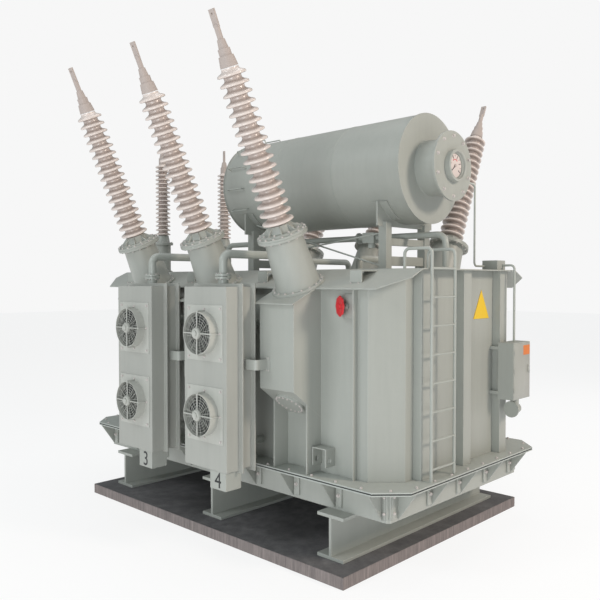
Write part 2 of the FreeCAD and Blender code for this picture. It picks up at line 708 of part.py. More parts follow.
# Handwheels, lifting brackets and hauling lugs
wheels = []
swing = math.radians(values["wheel_turn"])
facing = turn(V(0, 0, 1), -values["wheel_turn"]).multiply(lay)
for x in (-816, 2022):
    near = s.tank_half_width
    reach = 74
    rim = (x - reach * math.sin(swing), -(near + 13) - reach * math.cos(swing), s.wheel_height)
    wheels.append(fuse(
        block((124, 16, 260), (x + 24, -(near + 8), s.wheel_height - 130)),
        rod(18, reach + 6, (x, -(near + 13), s.wheel_height), facing),
        rod(s.wheel_radius, 26, rim, facing)))
node("handwheels", group(*wheels))
brackets, lugs = [], []
for side in (-1, 1):
    for x in (-2110, -690, 690, 2110):
        raw = fuse(block((160, 12, 130), (x, side * 1320, s.cover_top - 150)),
                   block((160, 274, 12), (x, side * 1189, s.cover_top - 32)))
        brackets.append(cut(raw, cover))
    for x in (-1742, 1742):
        plates = [block((200, 150, 12), (x, side * (s.tank_half_width + 75), 1252))]
        for hand in (-1, 1):
            cheek = block((14, 150, 190), (x + hand * 93, side * (s.tank_half_width + 75), 1064))
            plates.append(cheek)
        hole = rod(28, 400, (x - 200, side * (s.tank_half_width + 92), 1130), lie)
        lugs.append(cut(fuse(*plates), hole))
node("lifting_brackets", group(*brackets))
node("hauling_lugs", group(*lugs))

doc.recompute()
problems = 0
for thing in doc.Objects:
    if "Invalid" in thing.State or "Error" in thing.State:
        print("STATE", thing.Name, thing.Label, thing.State)
        problems += 1
for label, thing in nodes:
    if thing.Shape.isNull() or not thing.Shape.isValid() or not thing.Shape.Solids:
        print("SHAPE", label, thing.Shape.isNull(), len(thing.Shape.Solids))
        problems += 1
if problems:
    raise RuntimeError("the model has %d problems" % problems)
os.makedirs("parts", exist_ok=True)
for label, thing in nodes:
    thing.Shape.exportStep("parts/%s.step" % label)
    low, high = thing.Shape.BoundBox, thing.Shape.BoundBox
    print("%-24s solids %2d  x %8.1f %8.1f  y %8.1f %8.1f  z %8.1f %8.1f" % (
        label, len(thing.Shape.Solids), low.XMin, high.XMax, low.YMin, high.YMax, low.ZMin, high.ZMax))
print(len(nodes), "nodes written")
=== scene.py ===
import math

import bmesh
import bpy
from mathutils import Matrix, Vector


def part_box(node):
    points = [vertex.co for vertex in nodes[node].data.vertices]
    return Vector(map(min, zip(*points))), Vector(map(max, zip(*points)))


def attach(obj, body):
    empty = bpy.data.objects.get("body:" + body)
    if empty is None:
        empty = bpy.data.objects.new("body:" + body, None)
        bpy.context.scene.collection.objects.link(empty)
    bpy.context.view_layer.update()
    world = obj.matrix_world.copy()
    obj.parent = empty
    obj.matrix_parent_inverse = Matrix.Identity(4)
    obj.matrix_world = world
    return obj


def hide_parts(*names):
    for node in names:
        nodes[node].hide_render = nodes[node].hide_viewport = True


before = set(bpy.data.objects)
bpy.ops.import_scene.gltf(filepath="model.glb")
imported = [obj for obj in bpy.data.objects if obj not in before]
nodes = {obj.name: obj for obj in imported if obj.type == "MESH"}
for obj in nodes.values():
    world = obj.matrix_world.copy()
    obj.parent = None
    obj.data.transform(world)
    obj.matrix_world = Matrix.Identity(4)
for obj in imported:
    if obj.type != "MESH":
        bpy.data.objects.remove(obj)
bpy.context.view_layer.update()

mainBody = "transformer"
up = Vector((0, 0, 1))
print("frame loaded", len(nodes), "nodes")


# helpers that every mesh piece uses
def addObject(name, data):
    thing = bpy.data.objects.new(name, data)
    bpy.context.scene.collection.objects.link(thing)
    return thing


def cleanMesh(name, points, faces):
    # a mesh with its faces turned outwards
    mesh = bpy.data.meshes.new(name)
    mesh.from_pydata([tuple(p) for p in points], [], faces)
    work = bmesh.new()
    work.from_mesh(mesh)
    bmesh.ops.recalc_face_normals(work, faces=work.faces)
    work.to_mesh(mesh)
    work.free()
    return mesh


def standAt(place, axis):
    # sets a shape's foot on place, with its height along axis
    turn = Vector(axis).to_track_quat("Z", "Y").to_matrix().to_4x4()
    return Matrix.Translation(place) @ turn


def stackFaces(rows, wide, closed=False):
    # skin over rings of points; the last ring joins the first, or each end gets a lid
    faces = []
    for i in range(rows if closed else rows - 1):
        j = (i + 1) % rows
        for k in range(wide):
            n = (k + 1) % wide
            faces.append((i * wide + k, i * wide + n, j * wide + n, j * wide + k))
    if not closed:
        faces.append(tuple(reversed(range(wide))))
        faces.append(tuple(range((rows - 1) * wide, rows * wide)))
    return faces


class Builder:
    def __init__(self):
        self.points, self.faces = [], []

    def add(self, points, faces):
        start = len(self.points)
        self.points += [Vector(p) for p in points]
        self.faces += [tuple(start + i for i in f) for f in faces]

    def block(self, low, high):
        (x0, y0, z0), (x1, y1, z1) = low, high
        corners = ((x0, y0, z0), (x1, y0, z0), (x1, y1, z0), (x0, y1, z0),
                   (x0, y0, z1), (x1, y0, z1), (x1, y1, z1), (x0, y1, z1))
        self.add(corners, [(0, 3, 2, 1), (4, 5, 6, 7), (0, 1, 5, 4),
                           (1, 2, 6, 5), (2, 3, 7, 6), (3, 0, 4, 7)])

    def lathe(self, profile, matrix, sides):
        # profile: (radius, height) pairs from foot to top
        points = []
        for radius, height in profile:
            for k in range(sides):
                a = 2 * math.pi * k / sides
                points.append(matrix @ Vector((radius * math.cos(a), radius * math.sin(a), height)))
        self.add(points, stackFaces(len(profile), sides))

    def rod(self, first, last, radius, sides, lastRadius=None):
        first, last = Vector(first), Vector(last)
        endRadius = radius if lastRadius is None else lastRadius
        length = (last - first).length
        self.lathe([(radius, 0), (endRadius, length)], standAt(first, last - first), sides)

    def tube(self, spots, radius, sides, closed=False):
        path = [Vector(p) for p in spots]
        count = len(path)
        if closed:
            ahead = [(path[(i + 1) % count] - path[i - 1]).normalized() for i in range(count)]
        else:
            ahead = [(path[min(i + 1, count - 1)] - path[max(i - 1, 0)]).normalized()
                     for i in range(count)]
        side = ahead[0].orthogonal().normalized()
        points = []
        for i, spot in enumerate(path):
            if i:
                side = ahead[i - 1].rotation_difference(ahead[i]) @ side
            other = ahead[i].cross(side)
            for k in range(sides):
                a = 2 * math.pi * k / sides
                points.append(spot + side * math.cos(a) * radius + other * math.sin(a) * radius)
        self.add(points, stackFaces(count, sides, closed))

    def ring(self, middle, axis, radius, wire, turns, sides):
        axis = Vector(axis).normalized()
        a = axis.orthogonal().normalized()
        b = axis.cross(a)
        spots = [Vector(middle) + a * radius * math.cos(2 * math.pi * k / turns)
                 + b * radius * math.sin(2 * math.pi * k / turns) for k in range(turns)]
        self.tube(spots, wire, sides, closed=True)

    def finish(self, name, material, body=mainBody, bevel=0.0, smoothAngle=35, slot=None,
               replaces=()):
        thing = addObject(name, cleanMesh(name, self.points, self.faces))
        if bevel:
            mod = thing.modifiers.new("softEdges", "BEVEL")
            mod.width, mod.segments = bevel, 2
            mod.limit_method, mod.angle_limit = "ANGLE", math.radians(40)
            bakeModifiers(thing)
        return settle(thing, material, body, smoothAngle, replaces)


def bakeModifiers(thing):
    shown = bpy.context.evaluated_depsgraph_get()
    mesh = bpy.data.meshes.new_from_object(thing.evaluated_get(shown))
    thing.modifiers.clear()
    thing.data = mesh


def settle(thing, material, body=mainBody, smoothAngle=35, replaces=()):
    mesh = thing.data
    mesh.materials.clear()
    mesh.materials.append(material)
    mesh.shade_smooth()
    if smoothAngle:
        mesh.set_sharp_from_angle(angle=math.radians(smoothAngle))
    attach(thing, body)
    if replaces:
        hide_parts(*replaces)
    return thing


# helpers for shader trees
def newGroup(name, inputs, outputs):
    tree = bpy.data.node_groups.new(name, "ShaderNodeTree")
    for word, kind, value in inputs:
        socket = tree.interface.new_socket(word, in_out="INPUT", socket_type=kind)
        if value is not None:
            socket.default_value = value
    for word, kind in outputs:
        tree.interface.new_socket(word, in_out="OUTPUT", socket_type=kind)
    return tree, tree.nodes.new("NodeGroupInput"), tree.nodes.new("NodeGroupOutput")


def noiseNode(tree, where, scale, detail=4.0, rough=0.55):
    n = tree.nodes.new("ShaderNodeTexNoise")
    n.inputs["Scale"].default_value = scale
    n.inputs["Detail"].default_value = detail
    n.inputs["Roughness"].default_value = rough
    tree.links.new(where, n.inputs["Vector"])
    return n.outputs["Fac"]


def stretchedNoise(tree, where, stretch, scale, detail, rough):
    n = tree.nodes.new("ShaderNodeMapping")
    n.inputs["Scale"].default_value = stretch
    tree.links.new(where, n.inputs["Vector"])
    return noiseNode(tree, n.outputs["Vector"], scale, detail, rough)


def mapRange(tree, value, low, high, outLow, outHigh):
    n = tree.nodes.new("ShaderNodeMapRange")
    limits = (low, high, outLow, outHigh)
    for socket, number in zip(("From Min", "From Max", "To Min", "To Max"), limits):
        n.inputs[socket].default_value = number
    tree.links.new(value, n.inputs["Value"])
    return n.outputs["Result"]


def mathNode(tree, kind, *values):
    n = tree.nodes.new("ShaderNodeMath")
    n.operation = kind
    for socket, value in zip(n.inputs, values):
        if isinstance(value, (int, float)):
            socket.default_value = value
        else:
            tree.links.new(value, socket)
    return n.outputs[0]


def mixColor(tree, factor, a, b, blend="MIX"):
    n = tree.nodes.new("ShaderNodeMix")
    n.data_type, n.blend_type = "RGBA", blend
    for key, value in ((0, factor), (6, a), (7, b)):
        if isinstance(value, (int, float, tuple)):
            n.inputs[key].default_value = value
        else:
            tree.links.new(value, n.inputs[key])
    return n.outputs[2]


def heightOf(tree, vector):
    n = tree.nodes.new("ShaderNodeSeparateXYZ")
    tree.links.new(vector, n.inputs[0])
    return n.outputs["Z"]


def dotNode(tree, a, b):
    n = tree.nodes.new("ShaderNodeVectorMath")
    n.operation = "DOT_PRODUCT"
    tree.links.new(a, n.inputs[0])
    tree.links.new(b, n.inputs[1])
    return n.outputs["Value"]


def softNormal(tree, radius):
    n = tree.nodes.new("ShaderNodeBevel")
    n.samples = 4
    n.inputs["Radius"].default_value = radius
    return n.outputs["Normal"]


def bumpOnto(tree, shader, height, strength, distance, normal=None):
    n = tree.nodes.new("ShaderNodeBump")
    n.inputs["Strength"].default_value = strength
    n.inputs["Distance"].default_value = distance
    tree.links.new(height, n.inputs["Height"])
    if normal:
        tree.links.new(normal, n.inputs["Normal"])
    tree.links.new(n.outputs["Normal"], shader.inputs["Normal"])


# paint: broad shade changes, dust on upward faces and faint runs down the walls
weather = dict(broadScale=0.9, fineScale=14.0, runStretch=(9.0, 9.0, 0.55), runScale=1.6,
               broadShade=(0.94, 1.05), fineShade=(0.985, 1.015), runShade=0.93,
               dustColor=(0.50, 0.49, 0.45, 1), dustMost=0.22, dustRoughness=0.8,
               fineRoughness=0.10, peelScale=260.0, peelHeight=0.05, waveScale=5.0,
               waveHeight=0.9)


def weatherGroup():
    tree, gin, gout = newGroup(
        "weathering", [("Color", "NodeSocketColor", None), ("Amount", "NodeSocketFloat", 1.0)],
        [("Color", "NodeSocketColor"), ("Roughness", "NodeSocketFloat"),
         ("Height", "NodeSocketFloat")])
    color, amount = gin.outputs["Color"], gin.outputs["Amount"]
    coord = tree.nodes.new("ShaderNodeTexCoord").outputs["Object"]
    broad = noiseNode(tree, coord, weather["broadScale"], 3.0)
    fine = noiseNode(tree, coord, weather["fineScale"], 5.0)
    runs = stretchedNoise(tree, coord, weather["runStretch"], weather["runScale"], 6.0, 0.6)
    shade = mapRange(tree, broad, 0.3, 0.7, *weather["broadShade"])
    for other in (mapRange(tree, fine, 0.3, 0.7, *weather["fineShade"]),
                  mapRange(tree, runs, 0.42, 0.75, 1.0, weather["runShade"])):
        shade = mathNode(tree, "MULTIPLY", shade, other)
    tone = tree.nodes.new("ShaderNodeCombineColor")
    for socket in tone.inputs[:3]:
        tree.links.new(shade, socket)
    shaded = mixColor(tree, 1.0, color, tone.outputs[0], "MULTIPLY")
    tinted = mixColor(tree, amount, color, shaded)
    normal = tree.nodes.new("ShaderNodeNewGeometry").outputs["Normal"]
    upward = mapRange(tree, heightOf(tree, normal), 0.55, 1.0, 0.0, weather["dustMost"])
    patchy = mapRange(tree, fine, 0.25, 0.75, 0.4, 1.0)
    dusty = mathNode(tree, "MULTIPLY", mathNode(tree, "MULTIPLY", upward, patchy), amount)
    tree.links.new(mixColor(tree, dusty, tinted, weather["dustColor"]), gout.inputs["Color"])
    rough = mathNode(tree, "ADD", mapRange(tree, fine, 0.3, 0.7, 0.0, weather["fineRoughness"]),
                     mathNode(tree, "MULTIPLY", dusty, weather["dustRoughness"]))
    tree.links.new(rough, gout.inputs["Roughness"])
    peel = noiseNode(tree, coord, weather["peelScale"], 2.0)
    waves = noiseNode(tree, coord, weather["waveScale"], 2.0)
    height = mathNode(tree, "ADD", mathNode(tree, "MULTIPLY", peel, weather["peelHeight"]),
                      mathNode(tree, "MULTIPLY", waves, weather["waveHeight"]))
    tree.links.new(height, gout.inputs["Height"])
    return tree


weathering = weatherGroup()
# painted highlight on rounded edges: how much lighter, the bend where it begins and the bend where
# it is full
edgeHighlightFacts = dict(lift=1.30, flat=0.995, wearAndHighlightEdge=0.85)


def edgeGroup():
    # painted highlight: the paint colour is lifted where an edge is rounded, standing in for the
    # light it catches
    tree, gin, gout = newGroup(
        "edgeHighlightGroup", [("Color", "NodeSocketColor", None), ("Soft Normal", "NodeSocketVector", None),
                     ("Lift", "NodeSocketFloat", 1.3)], [("Color", "NodeSocketColor")])
    normal = tree.nodes.new("ShaderNodeNewGeometry").outputs["Normal"]
    bend = dotNode(tree, gin.outputs["Soft Normal"], normal)
    wearAndHighlightMask = mapRange(tree, bend, edgeHighlightFacts["flat"], edgeHighlightFacts["wearAndHighlightEdge"], 0.0, 1.0)
    bright = tree.nodes.new("ShaderNodeVectorMath")
    bright.operation = "SCALE"
    tree.links.new(gin.outputs["Color"], bright.inputs[0])
    tree.links.new(gin.outputs["Lift"], bright.inputs["Scale"])
    lifted = mixColor(tree, wearAndHighlightMask, gin.outputs["Color"], bright.outputs[0])
    tree.links.new(lifted, gout.inputs["Color"])
    return tree


edgeHighlightGroup = edgeGroup()
paintBump = 0.35             # strength of the orange peel and the waves
# painted shade in the deep folds: occlusion samples, reach, and the depths where the darkening is
# full and where it ends
creaseShade = dict(samples=6, reach=0.09, deep=0.25, open=0.85)


def makeMaterial(name, color, roughness=0.4, metallic=0.0, amount=1.0, edge=0.004, bump=0.002,
                 coat=0.0, coatRoughness=0.1, creaseShadeColor=None):
    material = bpy.data.materials.new(name)
    material.use_nodes = True
    tree = material.node_tree
    shader = tree.nodes["Principled BSDF"]
    shader.inputs["Metallic"].default_value = metallic
    shader.inputs["Coat Weight"].default_value = coat
    shader.inputs["Coat Roughness"].default_value = coatRoughness
    wear = tree.nodes.new("ShaderNodeGroup")
    wear.node_tree = weathering
    wear.inputs["Color"].default_value = (*color, 1)
    wear.inputs["Amount"].default_value = amount
    base, soft = wear.outputs["Color"], None
    rough = mathNode(tree, "ADD", wear.outputs["Roughness"], roughness - 0.05)
    tree.links.new(rough, shader.inputs["Roughness"])
    # painted highlight: rounded edges get a lighter paint colour
    if edge:
        soft = softNormal(tree, edge)
        wearAndHighlightEdge = tree.nodes.new("ShaderNodeGroup")
        wearAndHighlightEdge.node_tree = edgeHighlightGroup
        wearAndHighlightEdge.inputs["Lift"].default_value = edgeHighlightFacts["lift"]
        tree.links.new(base, wearAndHighlightEdge.inputs["Color"])
        tree.links.new(soft, wearAndHighlightEdge.inputs["Soft Normal"])
        base = wearAndHighlightEdge.outputs["Color"]
    bumpOnto(tree, shader, wear.outputs["Height"], paintBump, bump, soft)
    if creaseShadeColor:               # painted shade that darkens the deep folds
        creaseOcclusion = tree.nodes.new("ShaderNodeAmbientOcclusion")
        creaseOcclusion.samples = creaseShade["samples"]
        creaseOcclusion.inputs["Distance"].default_value = creaseShade["reach"]
        clear = mapRange(tree, creaseOcclusion.outputs["AO"], creaseShade["deep"], creaseShade["open"], 0.0, 1.0)
        base = mixColor(tree, clear, (*creaseShadeColor, 1), base)
    tree.links.new(base, shader.inputs["Base Color"])
    return material


finishes = {
    "tank": dict(color=(0.372, 0.383, 0.352), roughness=0.42, edge=0.009, amount=0.7),
    "pipe": dict(color=(0.385, 0.402, 0.370), roughness=0.36, edge=0.0, amount=0.6),
    "cooler": dict(color=(0.375, 0.378, 0.348), roughness=0.40, edge=0.009, amount=0.7),
    "fan": dict(color=(0.46, 0.462, 0.425), roughness=0.36, edge=0.004),
    "blade": dict(color=(0.012, 0.013, 0.012), roughness=0.45, edge=0.0),
    # porcelain: the dark colour in its folds is painted shade
    "porcelain": dict(color=(0.70, 0.61, 0.565), roughness=0.26, edge=0.0, amount=0.35,
                      bump=0.0003, coat=0.35, coatRoughness=0.25, creaseShadeColor=(0.235, 0.175, 0.150)),
    "terminal": dict(color=(0.44, 0.375, 0.345), roughness=0.62, edge=0.0, amount=0.4,
                     bump=0.0001),
    "bolt": dict(color=(0.57, 0.525, 0.505), roughness=0.38, metallic=0.1, edge=0.0, amount=0.6),
    "red": dict(color=(0.60, 0.022, 0.030), roughness=0.35, edge=0.003, amount=0.4),
    "dark": dict(color=(0.040, 0.044, 0.043), roughness=0.7, edge=0.0, amount=0.4),
    "yellow": dict(color=(0.80, 0.52, 0.02), roughness=0.4, edge=0.002, amount=0.5),
    "orange": dict(color=(0.66, 0.17, 0.02), roughness=0.4, edge=0.0, amount=0.5),
    "dial": dict(color=(0.70, 0.61, 0.58), roughness=0.35, edge=0.0, amount=0.3, bump=0.0002),
    "ink": dict(color=(0.02, 0.02, 0.022), roughness=0.5, edge=0.0, amount=0.1),
    "flange": dict(color=(0.43, 0.455, 0.425), roughness=0.40),
}
paints = {word: makeMaterial(word + "Finish", **facts) for word, facts in finishes.items()}

slab = dict(topDark=(0.082, 0.080, 0.084, 1), topLight=(0.185, 0.178, 0.182, 1),
            sideDark=(0.150, 0.128, 0.124, 1), sideLight=(0.265, 0.225, 0.215, 1),
            speck=(0.24, 0.215, 0.215, 1), wornColor=(0.30, 0.25, 0.24, 1), edge=0.012,
            blotchScale=1.7, mottleScale=7.0, grainScale=60.0, streakScale=2.2,
            streakStretch=(16.0, 16.0, 1.2), roughness=0.85, bumpStrength=0.6, bump=0.004)


def concreteMaterial():
    # mottled top, sides with fine upright streaks, worn edges
    material = bpy.data.materials.new("slabConcrete")
    material.use_nodes = True
    tree = material.node_tree
    shader = tree.nodes["Principled BSDF"]
    coord = tree.nodes.new("ShaderNodeTexCoord").outputs["Object"]
    broad = noiseNode(tree, coord, slab["blotchScale"], 6.0, 0.65)
    middle = noiseNode(tree, coord, slab["mottleScale"], 5.0, 0.7)
    fine = noiseNode(tree, coord, slab["grainScale"], 4.0, 0.7)
    streaks = stretchedNoise(tree, coord, slab["streakStretch"], slab["streakScale"], 5.0, 0.65)
    blotch = mathNode(tree, "MULTIPLY", mapRange(tree, broad, 0.35, 0.65, 0.35, 1.0),
                      mapRange(tree, middle, 0.35, 0.65, 0.3, 1.0))
    top = mixColor(tree, blotch, slab["topDark"], slab["topLight"])
    streaky = mapRange(tree, streaks, 0.35, 0.65, 0.0, 1.0)
    side = mixColor(tree, streaky, slab["sideDark"], slab["sideLight"])
    soft = softNormal(tree, slab["edge"])
    normal = tree.nodes.new("ShaderNodeNewGeometry").outputs["Normal"]
    upward = mapRange(tree, heightOf(tree, normal), 0.4, 0.6, 0.0, 1.0)
    base = mixColor(tree, upward, side, top)
    base = mixColor(tree, mapRange(tree, fine, 0.52, 0.8, 0.0, 0.40), base, slab["speck"])
    wearAndHighlightEdge = mapRange(tree, dotNode(tree, soft, normal), 0.99, 0.8, 0.0, 0.7)
    wearAndHighlightMask = mathNode(tree, "MULTIPLY", wearAndHighlightEdge, mapRange(tree, fine, 0.3, 0.6, 0.3, 1.0))
    base = mixColor(tree, wearAndHighlightMask, base, slab["wornColor"])
    tree.links.new(base, shader.inputs["Base Color"])
    shader.inputs["Roughness"].default_value = slab["roughness"]
    bumpOnto(tree, shader, fine, slab["bumpStrength"], slab["bump"], soft)
    return material


paints["concrete"] = concreteMaterial()
# dark line at the flange joint: rubber squeezed out of the joint, widened with painted shade in the
# gap
seam = dict(middle=0.948, half=0.0072, color=(0.03, 0.032, 0.03, 1))


def seamBand(material):
    # a dark line along the joint between the two skirt flanges: rubber squeezed out of the joint,
    # and painted shade in the gap
    tree = material.node_tree
    shader = tree.nodes["Principled BSDF"]
    paint = shader.inputs["Base Color"].links[0].from_socket
    height = heightOf(tree, tree.nodes.new("ShaderNodeTexCoord").outputs["Object"])
    off = mathNode(tree, "ABSOLUTE", mathNode(tree, "SUBTRACT", height, seam["middle"]))
    inside = mathNode(tree, "LESS_THAN", off, seam["half"])
    tree.links.new(mixColor(tree, inside, paint, seam["color"]), shader.inputs["Base Color"])


seamBand(paints["flange"])
print("materials made", len(paints))


# the finish of each frame node: by its whole name first, then by a part of it
wholeNames = {"plinth": "concrete", "flange_gasket": "dark", "upper_flange": "flange",
              "lower_flange": "flange", "blank_plate": "yellow", "ladder": "pipe",
              "conduits": "pipe", "climbing_steps": "pipe", "frame_brace_rods": "pipe",
              "gas_relay": "pipe"}
partNames = (("insulators", "porcelain"), ("terminals", "terminal"), ("pipe", "pipe"),
             ("cooler", "cooler"), ("fan", "fan"))


def finishFor(word):
    if word in wholeNames:
        return wholeNames[word]
    return next((finish for part, finish in partNames if part in word), "tank")


for word, thing in nodes.items():
    thing.data.materials.clear()
    thing.data.materials.append(paints[finishFor(word)])
print("frame nodes painted")


# helpers for Geometry Nodes trees
def geometryTree(name, inputs):
    tree = bpy.data.node_groups.new(name, "GeometryNodeTree")
    sockets = {}
    for word, kind, value in inputs:
        socket = tree.interface.new_socket(word, in_out="INPUT", socket_type=kind)
        if value is not None:
            socket.default_value = value
        sockets[word] = socket.identifier
    tree.interface.new_socket("Geometry", in_out="OUTPUT", socket_type="NodeSocketGeometry")
    return tree, tree.nodes.new("NodeGroupInput"), tree.nodes.new("NodeGroupOutput"), sockets


def turnedCopies(tree, points, shape):
    # a copy of shape on every point, its height along the point's own axis
    copies = tree.nodes.new("GeometryNodeInstanceOnPoints")
    tree.links.new(points, copies.inputs["Points"])
    tree.links.new(shape, copies.inputs["Instance"])
    axis = tree.nodes.new("GeometryNodeInputNamedAttribute")
    axis.data_type = "FLOAT_VECTOR"
    axis.inputs["Name"].default_value = "axis"
    align = tree.nodes.new("FunctionNodeAlignRotationToVector")
    align.axis = "Z"
    tree.links.new(axis.outputs["Attribute"], align.inputs["Vector"])
    tree.links.new(align.outputs[0], copies.inputs["Rotation"])
    return copies


def endTree(tree, last, paint, gout):
    real = tree.nodes.new("GeometryNodeRealizeInstances")
    painted = tree.nodes.new("GeometryNodeSetMaterial")
    tree.links.new(last, real.inputs[0])
    tree.links.new(real.outputs[0], painted.inputs["Geometry"])
    tree.links.new(paint, painted.inputs["Material"])
    tree.links.new(painted.outputs[0], gout.inputs[0])


def runTree(name, tree, sockets, values, mesh):
    thing = addObject(name, mesh)
    mod = thing.modifiers.new("made", "NODES")
    mod.node_group = tree
    for word, value in values.items():
        mod[sockets[word]] = value
    bakeModifiers(thing)
    return thing


def pointMesh(name, spots):
    # spots: (place, axis, size)
    mesh = bpy.data.meshes.new(name)
    mesh.from_pydata([tuple(place) for place, axis, size in spots], [], [])
    mesh.attributes.new("axis", "FLOAT_VECTOR", "POINT")
    mesh.attributes.new("size", "FLOAT", "POINT")
    axes = [number for place, axis, size in spots for number in Vector(axis).normalized()]
    mesh.attributes["axis"].data.foreach_set("vector", axes)
    mesh.attributes["size"].data.foreach_set("value", [size for place, axis, size in spots])
    return mesh


# insulators: how far out the porcelain stands over one pitch, a thick rounded rim, then a hollow
shedOutline = ((0.0, 0.0), (0.13, 0.02), (0.20, 0.24), (0.25, 0.70), (0.31, 0.93), (0.40, 1.0),
               (0.49, 0.985), (0.57, 0.88), (0.64, 0.55), (0.72, 0.20), (0.84, 0.02), (1.0, 0.0))
shedDroop = 0.10             # how far a rim hangs, in pitches


def insulatorTree():
    # a grid bent round into a stack of drooping sheds; Y runs up the stack, X round it
    tree, gin, gout, sockets = geometryTree("insulatorSheds", [
        ("Geometry", "NodeSocketGeometry", None), ("sheds", "NodeSocketInt", 17),
        ("pitch", "NodeSocketFloat", 0.1), ("coreRadius", "NodeSocketFloat", 0.1),
        ("coreTop", "NodeSocketFloat", 0.09), ("shedRadius", "NodeSocketFloat", 0.17),
        ("shedTop", "NodeSocketFloat", 0.15), ("sides", "NodeSocketInt", 56),
        ("rings", "NodeSocketInt", 12), ("paint", "NodeSocketMaterial", None)])
    links, new, given = tree.links, tree.nodes.new, gin.outputs

    def calc(kind, *values):
        return mathNode(tree, kind, *values)

    def taper(foot, top):
        return calc("MULTIPLY_ADD", along, calc("SUBTRACT", given[top], given[foot]), given[foot])

    grid = new("GeometryNodeMeshGrid")
    grid.inputs["Size X"].default_value = 1.0
    grid.inputs["Size Y"].default_value = 1.0
    links.new(calc("ADD", given["sides"], 1), grid.inputs["Vertices X"])
    rows = calc("ADD", calc("MULTIPLY", given["sheds"], given["rings"]), 1)
    links.new(rows, grid.inputs["Vertices Y"])
    spot = new("ShaderNodeSeparateXYZ")
    links.new(new("GeometryNodeInputPosition").outputs[0], spot.inputs[0])
    along = calc("ADD", spot.outputs["Y"], 0.5)
    angle = calc("MULTIPLY", calc("ADD", spot.outputs["X"], 0.5), 2 * math.pi)
    step = calc("MULTIPLY", along, given["sheds"])
    part = calc("FRACT", calc("MINIMUM", step, calc("SUBTRACT", given["sheds"], 0.0001)))
    curve = new("ShaderNodeFloatCurve")
    shape = curve.mapping.curves[0]
    for k, (x, y) in enumerate(shedOutline):
        point = shape.points[k] if k < 2 else shape.points.new(x, y)
        point.location = (x, y)
        point.handle_type = "AUTO_CLAMPED"
    curve.mapping.update()
    links.new(part, curve.inputs["Value"])
    core, edge = taper("coreRadius", "coreTop"), taper("shedRadius", "shedTop")
    radius = calc("MULTIPLY_ADD", curve.outputs[0], calc("SUBTRACT", edge, core), core)
    droop = calc("MULTIPLY", calc("MULTIPLY", curve.outputs[0], given["pitch"]), -shedDroop)
    place = new("ShaderNodeCombineXYZ")
    links.new(calc("MULTIPLY", radius, calc("COSINE", angle)), place.inputs[0])
    links.new(calc("MULTIPLY", radius, calc("SINE", angle)), place.inputs[1])
    links.new(calc("ADD", calc("MULTIPLY", step, given["pitch"]), droop), place.inputs[2])
    moved = new("GeometryNodeSetPosition")
    links.new(grid.outputs["Mesh"], moved.inputs["Geometry"])
    links.new(place.outputs[0], moved.inputs["Position"])
    weld = new("GeometryNodeMergeByDistance")
    weld.inputs["Distance"].default_value = 0.0002
    links.new(moved.outputs[0], weld.inputs["Geometry"])
    copies = turnedCopies(tree, given["Geometry"], weld.outputs["Geometry"])
    endTree(tree, copies.outputs[0], given["paint"], gout)
    return tree, sockets


# where the bushings stand, measured from the frame's own box
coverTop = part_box("tank_cover")[1].z
bushings = dict(lean=24.43, across=1.425, along=(-1.375, 0.0, 1.375), sunk=0.425)
upright = dict(x=-2.302, across=0.618, bolts=10, boltSize=0.022,
               boltCircles=((0.018, 0.131), (0.461, 0.134)))
lean = math.radians(bushings["lean"])
footHeight = coverTop - bushings["sunk"] * math.tan(lean)
tilted = {side: [(Vector((x, side * bushings["across"], footHeight)),
                  Vector((0, side * math.sin(lean), math.cos(lean))))
                 for x in bushings["along"]] for side in (-1, 1)}
tiltedSheds = dict(sheds=17, pitch=0.098, coreRadius=0.106, coreTop=0.091, shedRadius=0.176,
                   shedTop=0.152, sides=56, rings=16)
uprightSheds = dict(sheds=17, pitch=0.0645, coreRadius=0.070, coreTop=0.062, shedRadius=0.1115,
                    shedTop=0.1115, sides=40, rings=16)
shedStart = dict(tilted=0.7419, upright=0.567)
shedTree, shedSockets = insulatorTree()


def insulatorStack(name, spots, facts, replaced):
    stack = runTree(name, shedTree, shedSockets, dict(facts, paint=paints["porcelain"]),
                    pointMesh(name + "Spots", spots))
    settle(stack, paints["porcelain"], smoothAngle=0, replaces=(replaced,))


for word, side in (("front", -1), ("rear", 1)):
    spots = [(foot + axis * shedStart["tilted"], axis, 1.0) for foot, axis in tilted[side]]
    insulatorStack(word + "Sheds", spots, tiltedSheds, word + "_insulators")
spots = [(Vector((upright["x"], side * upright["across"], coverTop + shedStart["upright"])),
          up, 1.0) for side in (-1, 1)]
insulatorStack("uprightSheds", spots, uprightSheds, "neutral_insulators")
print("insulators made")


def scatterTree():
    # a shape set on every point, turned to its axis and scaled to its size
    tree, gin, gout, sockets = geometryTree("setOnPoints", [
        ("Geometry", "NodeSocketGeometry", None), ("shape", "NodeSocketObject", None),
        ("paint", "NodeSocketMaterial", None)])
    info = tree.nodes.new("GeometryNodeObjectInfo")
    tree.links.new(gin.outputs["shape"], info.inputs["Object"])
    copies = turnedCopies(tree, gin.outputs["Geometry"], info.outputs["Geometry"])
    size = tree.nodes.new("GeometryNodeInputNamedAttribute")
    size.data_type = "FLOAT"
    size.inputs["Name"].default_value = "size"
    tree.links.new(size.outputs["Attribute"], copies.inputs["Scale"])
    endTree(tree, copies.outputs[0], gin.outputs["paint"], gout)
    return tree, sockets


setTree, setSockets = scatterTree()


def setOnPoints(name, pattern, spots, material):
    thing = runTree(name, setTree, setSockets, {"shape": pattern, "paint": material},
                    pointMesh(name + "Spots", spots))
    settle(thing, material)


